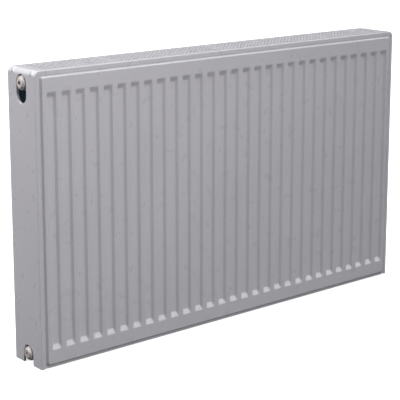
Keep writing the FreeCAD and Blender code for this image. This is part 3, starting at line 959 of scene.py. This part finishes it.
def lug(name, node):
    """Bent strap across one groove of the rear panel, with three weld nuggets on each foot."""
    lo, hi = box(node)
    x, foot, far = (lo.x + hi.x) / 2, lo.y + LUG_GAUGE / 2, hi.y - LUG_GAUGE / 2
    reach, root = (hi.x - lo.x) / 2, PITCH / 2 - 5.0
    path = [(-reach, foot), (-root, foot), (-root + 1.5, far), (root - 1.5, far), (root, foot),
            (reach, foot)]
    middle = Vector((x, 0, (lo.z + hi.z) / 2))
    parts = [ribbon(round_path(path, 2.2, 5), LUG_GAUGE, hi.z - lo.z, X, Y, middle, 0.4)]
    for side in (-1, 1):
        for level in (-NUGGET_STEP, 0, NUGGET_STEP):
            spot = Vector((x + side * (reach - NUGGET_IN), foot, middle.z + level))
            nugget = bmesh.new()
            bmesh.ops.create_uvsphere(nugget, u_segments=20, v_segments=10, radius=1.0)
            bmesh.ops.transform(nugget, verts=nugget.verts,
                                matrix=Matrix.Translation(spot) @ Matrix.Diagonal((*NUGGET, 1)))
            parts.append(nugget)
    return finish_mesh(name, joined(parts), ENAMEL)


for level in ("lower", "upper"):
    for side in ("left", "right"):
        node = f"{level}_{side}_lug"
        place(lug(node + "_strap", node), "radiator", "white_enamel", node)


# ---- top grille ----
def grille(name):
    """Punched plate with rolled slot edges and a band folded down along its front and rear."""
    top, low = grille_hi.z, grille_hi.z - GRILLE_SHEET
    x1, foot, out = grille_hi.x, grille_lo.z, grille_hi.y
    field_x, field_y = VENT_PITCH * VENT_COLUMNS / 2, VENT_PITCH * VENT_ROWS / 2
    quarter = VENT_PITCH / 4

    def edge(side):
        """Section from the plate's field out to the band's foot, as (outer, inner) points."""
        r, bend_y, bend_z = GRILLE_ROUND, out - GRILLE_ROUND, top - GRILLE_ROUND
        pairs = [((field_y + 6, top), (field_y + 6, low)), ((bend_y, top), (bend_y, low))]
        for k in range(1, 6):
            a = pi / 2 * k / 5
            s, c = sin(a), cos(a)
            pairs.append(((bend_y + r * s, bend_z + r * c), (bend_y + s, bend_z + c)))
        pairs += [((out, foot + 0.25), (out - 1, foot + 0.25)),
                  ((out - 0.22, foot), (out - 0.78, foot))]
        return [((side * a[0], a[1]), (side * b[0], b[1])) for a, b in pairs]
    field = [(-field_y + quarter * k) for k in range(4 * VENT_ROWS + 1)]
    section = list(reversed(edge(-1))) + [((y, top), (y, low)) for y in field] + edge(1)
    columns = [-field_x + quarter * k for k in range(4 * VENT_COLUMNS + 1)]
    columns = [-x1, -x1 + 0.25, -field_x - 3] + columns + [field_x + 3, x1 - 0.25, x1]
    before = len(edge(-1))
    bm = bmesh.new()

    def shrink(i):
        return 0.22 if i in (0, len(columns) - 1) else 0.0
    outer, inner = [], []
    for i, x in enumerate(columns):
        s = shrink(i)
        outer.append([])
        inner.append([])
        for a, b in section:
            toward = Vector((0, b[0] - a[0], b[1] - a[1])) * s
            outer[-1].append(bm.verts.new(Vector((x, *a)) + toward))
            inner[-1].append(bm.verts.new(Vector((x, *b)) - toward))
    first, last = 3, 3 + 4 * VENT_COLUMNS
    for i in range(len(columns) - 1):
        for k in range(len(section) - 1):
            if first <= i < last and before <= k < before + 4 * VENT_ROWS:
                continue
            bm.faces.new([outer[i][k], outer[i + 1][k], outer[i + 1][k + 1], outer[i][k + 1]])
            bm.faces.new([inner[i][k], inner[i][k + 1], inner[i + 1][k + 1], inner[i + 1][k]])
        for k in (0, len(section) - 1):
            bm.faces.new([outer[i][k], inner[i][k], inner[i + 1][k], outer[i + 1][k]])
    for i in (0, len(columns) - 1):
        for k in range(len(section) - 1):
            bm.faces.new([outer[i][k], outer[i][k + 1], inner[i][k + 1], inner[i][k]])

    a, b, c = VENT_HALF[0], VENT_HALF[1], VENT_CORNER
    d = c * (1 - sqrt(0.5))
    hole = [(-a + d, -b + d), (-a + c, -b), (0, -b), (a - c, -b),
            (a - d, -b + d), (a, -b + c), (a, 0), (a, b - c),
            (a - d, b - d), (a - c, b), (0, b), (-a + c, b),
            (-a + d, b - d), (-a, b - c), (-a, 0), (-a, -b + c)]
    cell = ([(i, 0) for i in range(4)] + [(4, k) for k in range(4)]
            + [(i, 4) for i in range(4, 0, -1)] + [(0, k) for k in range(4, 0, -1)])
    rings = ((1.1, top), (1.0, top - 0.28), (1.0, top - 0.72), (1.07, low))
    for column in range(VENT_COLUMNS):
        x = -field_x + VENT_PITCH * (column + 0.5)
        for row in range(VENT_ROWS):
            y = -field_y + VENT_PITCH * (row + 0.5)
            i0, k0 = first + 4 * column, before + 4 * row
            loops = [[outer[i0 + i][k0 + k] for i, k in cell]]
            for grow, z in rings:
                loops.append([bm.verts.new((x + p * grow, y + q * grow, z)) for p, q in hole])
            loops.append([inner[i0 + i][k0 + k] for i, k in cell])
            skin_rings(bm, loops)
    bmesh.ops.recalc_face_normals(bm, faces=bm.faces)
    return finish_mesh(name, bm, ENAMEL, 50)


place(grille("vented_top_grille"), "top_grille", "white_enamel", "top_grille")


# ---- plugs and vent ----
def shank(back, end):
    """Profile of a male thread from the flange's back to the inner end, and the thread for lathe."""
    r = THREAD_R - 0.1
    start, stop = back + SHANK_GAP, end - 0.8
    outline = [(start - 0.4, r - 1.0)] + run(start, stop, r) + [(end, r - 1.0)]
    return outline, (start, stop, -THREAD_HEIGHT)


def plug_flange(face, back):
    """Outer form from the raised ring's foot over the flange's rounded rim to its back."""
    return [(face, 11.2), (face, 12.6), (face + 0.18, 13.1), (face + 0.55, 13.42),
            (face + 0.9, 13.5), (back - 0.6, 13.5), (back - 0.2, 13.35), (back, 12.9), (back, 9.4)]


def blanking_plug(name):
    """Plug with a raised round head and a hexagon socket."""
    face = plug_lo.x + PLUG_RISE
    back = face + FLANGE_THICK
    centre = LOWER
    threads, thread = shank(back, plug_hi.x)
    head = [(face - PLUG_RISE, 0), (face - PLUG_RISE, 8.9), (face - 2.45, 9.45), (face - 2.0, 9.8),
            (face - 1.4, 10.0), (face - 0.35, 10.0), (face - 0.1, 10.15), (face, 10.5)]
    profile = head + plug_flange(face, back) + threads + [(plug_hi.x, 0)]
    plug = finish_mesh(name, lathe(profile, centre, 96, thread), NICKEL, 40, centre)
    socket = hex_tool(SOCKET_R, face - 6, face + SOCKET_DEPTH, centre)
    combine(plug, socket, "DIFFERENCE")
    shade(plug, 35)
    return plug


def hex_tool(radius, x0, x1, centre):
    """Hexagonal bar along X, used up as a cutting tool."""
    bm = bmesh.new()
    ends = [[bm.verts.new(centre + Vector((x, radius * cos(radians(a)),
                                           radius * sin(radians(a)))))
             for a in range(30, 390, 60)] for x in (x0, x1)]
    skin_rings(bm, ends)
    bm.faces.new(ends[0])
    bm.faces.new(ends[1])
    bmesh.ops.recalc_face_normals(bm, faces=bm.faces)
    return finish_mesh("tool", bm, None)


def vent_body(name):
    """Vent plug with a grooved spigot for the nozzle, and the needle's bore, seat and cup."""
    face = vent_lo.x + VENT_RISE
    back = face + FLANGE_THICK
    centre = UPPER
    threads, thread = shank(back, vent_hi.x)
    spigot = face - VENT_RISE
    seat, cup = face + 11.7, face + 14.6
    mouth = [(vent_hi.x, 6.0), (cup, 6.0), (cup - 0.1, 1.0), (seat + 0.1, 1.0), (seat, 2.75),
             (face + 9.2, 2.75), (face + 9.0, 2.6), (face + 1.3, 2.6), (face + 1.1, 4.4),
             (spigot + 0.3, 4.4), (spigot, 4.7), (spigot, 6.7), (spigot + 0.3, 7.0),
             (face - 1.35, 7.0), (face - 1.25, 6.65), (face - 0.95, 6.65), (face - 0.85, 7.0),
             (face - 0.1, 7.0), (face, 7.15)]
    profile = plug_flange(face, back) + threads + mouth
    return finish_mesh(name, lathe(profile, centre, 96, thread), NICKEL, 40, centre)


def vent_nozzle(name):
    """Swivel ring snapped onto the vent's spigot, with its outlet hole at the bottom."""
    centre = UPPER
    back, front = nozzle_hi.x, nozzle_lo.x
    profile = [(back, 7.2), (back, 9.6), (back - 0.25, 9.9), (back - 0.6, 10.0), (front + 0.9, 10.0),
               (front + 0.45, 9.85), (front + 0.15, 9.5), (front, 9.0), (front, 4.8),
               (front + 0.12, 4.4), (front + 0.4, 4.1), (front + 0.7, 4.05), (front + 0.72, 7.1)]
    ring = finish_mesh(name, lathe(profile, centre, 96), PLASTIC, 40, centre)
    bore(ring, 0.8, -12, -6, Z, centre + X * (back - 1.3), 24)
    shade(ring, 35)
    return ring


def block(centre, size):
    bm = bmesh.new()
    bmesh.ops.create_cube(bm, size=1.0)
    bmesh.ops.transform(bm, verts=bm.verts,
                        matrix=Matrix.Translation(centre) @ Matrix.Diagonal((*size, 1)))
    return bm


def vent_spindle(name):
    """Brass needle with a square head for the vent key and a flat milled along its side."""
    centre = UPPER
    head_x, neck, tip = spindle_lo.x, spindle_lo.x + KEY_LENGTH, spindle_hi.x
    head = block(centre + X * (head_x + neck + 0.3) / 2, (neck + 0.3 - head_x, KEY_SQUARE, KEY_SQUARE))
    bmesh.ops.bevel(head, geom=list(head.edges), offset=0.35, segments=3, profile=0.6, affect="EDGES")
    needle = lathe([(neck, 0), (neck, 2.1), (neck + 0.3, NEEDLE_R), (tip - 2.4, NEEDLE_R),
                    (tip - 1.6, 2.2), (tip - 0.7, 0.9), (tip, 0.7), (tip, 0)], centre, 48)
    obj = finish_mesh(name, joined([head, needle]), BRASS, 40, centre)
    flat = block(centre + X * (neck + tip) / 2 + Z * 2.6, (tip - neck - 1.0, 6, 1.0))
    combine(obj, finish_mesh("tool", flat, None), "DIFFERENCE")
    shade(obj, 35)
    return obj


def seal_ring(name, node, centre):
    """Flat rubber ring with rounded edges behind a flange."""
    lo, hi = box(node)
    profile = [(lo.x, 10.1), (lo.x, 11.8), (lo.x + 0.4, 12.2), (lo.x + 0.8, 12.3),
               (hi.x - 0.4, 12.2), (hi.x, 11.8), (hi.x, 10.1), (hi.x - 0.4, 9.6),
               (lo.x + 0.8, 9.5), (lo.x + 0.4, 9.6)]
    return finish_mesh(name, lathe(profile, centre, 80), RUBBER, 60, centre)


place(blanking_plug("lower_left_plug"), "radiator", "nickel_plate", "blanking_plug")
place(vent_body("vent_body_turned"), "radiator", "nickel_plate", "vent_plug_body")
place(vent_nozzle("vent_swivel_nozzle"), "vent_nozzle", "nozzle_plastic", "vent_nozzle")
place(vent_spindle("vent_square_spindle"), "vent_spindle", "brass", "vent_spindle")
for name, node, centre in (("lower_seal_ring", "blanking_plug_seal", LOWER),
                           ("upper_seal_ring", "vent_plug_seal", UPPER)):
    place(seal_ring(name, node, centre), "radiator", "seal_rubber", node)
for piece in placed:
    weigh_normals(piece)
inner_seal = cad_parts["vent_seal"]
inner_seal.data.materials.clear()
inner_seal.data.materials.append(RUBBER)


# ---- floor, backdrop, light and camera, in metres ----
STAGE_HALF = 24.0  # both stay nearer than the camera's clip end
BACKDROP_R = 36.0


def stage_material(name, colour, glow):
    """Matt, nearly even surface that may glow white."""
    m = Nodes(name, Roughness=0.9)
    m.tint(m.noise(3.0, 2.0), colour, tuple(c * 1.02 for c in colour))
    m.shader.inputs["Emission Color"].default_value = (1, 1, 1, 1)
    m.shader.inputs["Emission Strength"].default_value = glow
    return m.material


def plane(name, z, material):
    """Level sheet at a height in metres."""
    bm = bmesh.new()
    bmesh.ops.create_grid(bm, x_segments=2, y_segments=2, size=STAGE_HALF)
    for v in bm.verts:
        v.co.z = z
    return finish_mesh(name, bm, material, scale=1.0)


def unseen_by(obj, *rays):
    """Hides an object from some kinds of ray."""
    for ray in rays:
        setattr(obj, "visible_" + ray, False)


floor = plane("studio_floor", -0.0004, stage_material("floor_white", (0.9, 0.9, 0.9), 0.8))
unseen_by(floor, "diffuse", "glossy", "transmission")
bounce = plane("floor_bounce", -0.0012, stage_material("floor_grey", (0.06, 0.06, 0.062), 0.0))
unseen_by(bounce, "camera")
shell = bmesh.new()
bmesh.ops.create_uvsphere(shell, u_segments=48, v_segments=24, radius=BACKDROP_R)
bmesh.ops.reverse_faces(shell, faces=shell.faces)
backdrop_white = stage_material("backdrop_white", (0.0, 0.0, 0.0), 1.0)
backdrop = finish_mesh("backdrop", shell, backdrop_white, scale=1.0)
unseen_by(backdrop, "diffuse", "glossy", "transmission", "shadow")


def sky(horizon, zenith, tint):
    """Soft overhead dome: brightest at the top, dimmer towards the horizon."""
    world = bpy.data.worlds.new("studio")
    bpy.context.scene.world = world
    world.use_nodes = True
    tree = world.node_tree
    background = tree.nodes["Background"]
    coords = tree.nodes.new("ShaderNodeTexCoord")
    split = tree.nodes.new("ShaderNodeSeparateXYZ")
    level = tree.nodes.new("ShaderNodeMapRange")
    level.inputs["To Min"].default_value = horizon
    level.inputs["To Max"].default_value = zenith
    tree.links.new(coords.outputs["Generated"], split.inputs["Vector"])
    tree.links.new(split.outputs["Z"], level.inputs["Value"])
    tree.links.new(level.outputs["Result"], background.inputs["Strength"])
    background.inputs["Color"].default_value = (*tint, 1.0)


def light(name, kind, toward, power, colour, spot=(0, 0, 0), **settings):
    """Soft light at a spot; toward points back along its beam."""
    data = bpy.data.lights.new(name, kind)
    data.energy = power
    data.color = colour
    for key, value in settings.items():
        setattr(data, key, value)
    obj = in_scene(bpy.data.objects.new(name, data))
    obj.location = spot
    obj.rotation_mode = "QUATERNION"
    obj.rotation_quaternion = Vector(toward).to_track_quat("Z", "Y")


def sun(name, toward, power, spread, colour):
    light(name, "SUN", toward, power, colour, angle=radians(spread))


def panel_light(name, spot, aim, size, power, colour):
    light(name, "AREA", Vector(spot) - Vector(aim), power, colour, spot, shape="SQUARE", size=size)


LILAC = (1.0, 0.97, 1.02)
sky(0.07, 0.33, (0.97, 0.98, 1.02))
sun("overhead", (0.0, 0.0, 1.0), 1.95, 65, (0.98, 0.99, 1.0))
sun("front_right_fill", (0.64, -0.75, 0.08), 0.86, 50, LILAC)
panel_light("left_rear_fill", (-1.8, 1.0, 1.5), (-0.5, 0, 0.35), 0.8, 23.0, LILAC)
panel_light("upper_left_key", (-0.6, -1.3, 1.25), (-0.4, 0, 0.4), 0.5, 6.1, LILAC)

# a view from the left, slightly above; the small shift keeps the verticals nearly upright
SENSOR = 36.0
PITCH_DOWN, HEADING = 11.642, -39.645
camera_data = bpy.data.cameras.new("camera")
camera_data.sensor_width = SENSOR
camera_data.lens = 3.235 * SENSOR
camera_data.shift_y = -0.15
camera_data.clip_start, camera_data.clip_end = 0.05, 200.0
camera = in_scene(bpy.data.objects.new("camera", camera_data))
camera.location = (-1.8070, -2.1163, 0.9673)
camera.rotation_mode = "XYZ"
camera.rotation_euler = (radians(90 - PITCH_DOWN), 0, radians(HEADING))
scene = bpy.context.scene
scene.camera = camera
scene.view_settings.view_transform = "Standard"
scene.view_settings.look = "None"
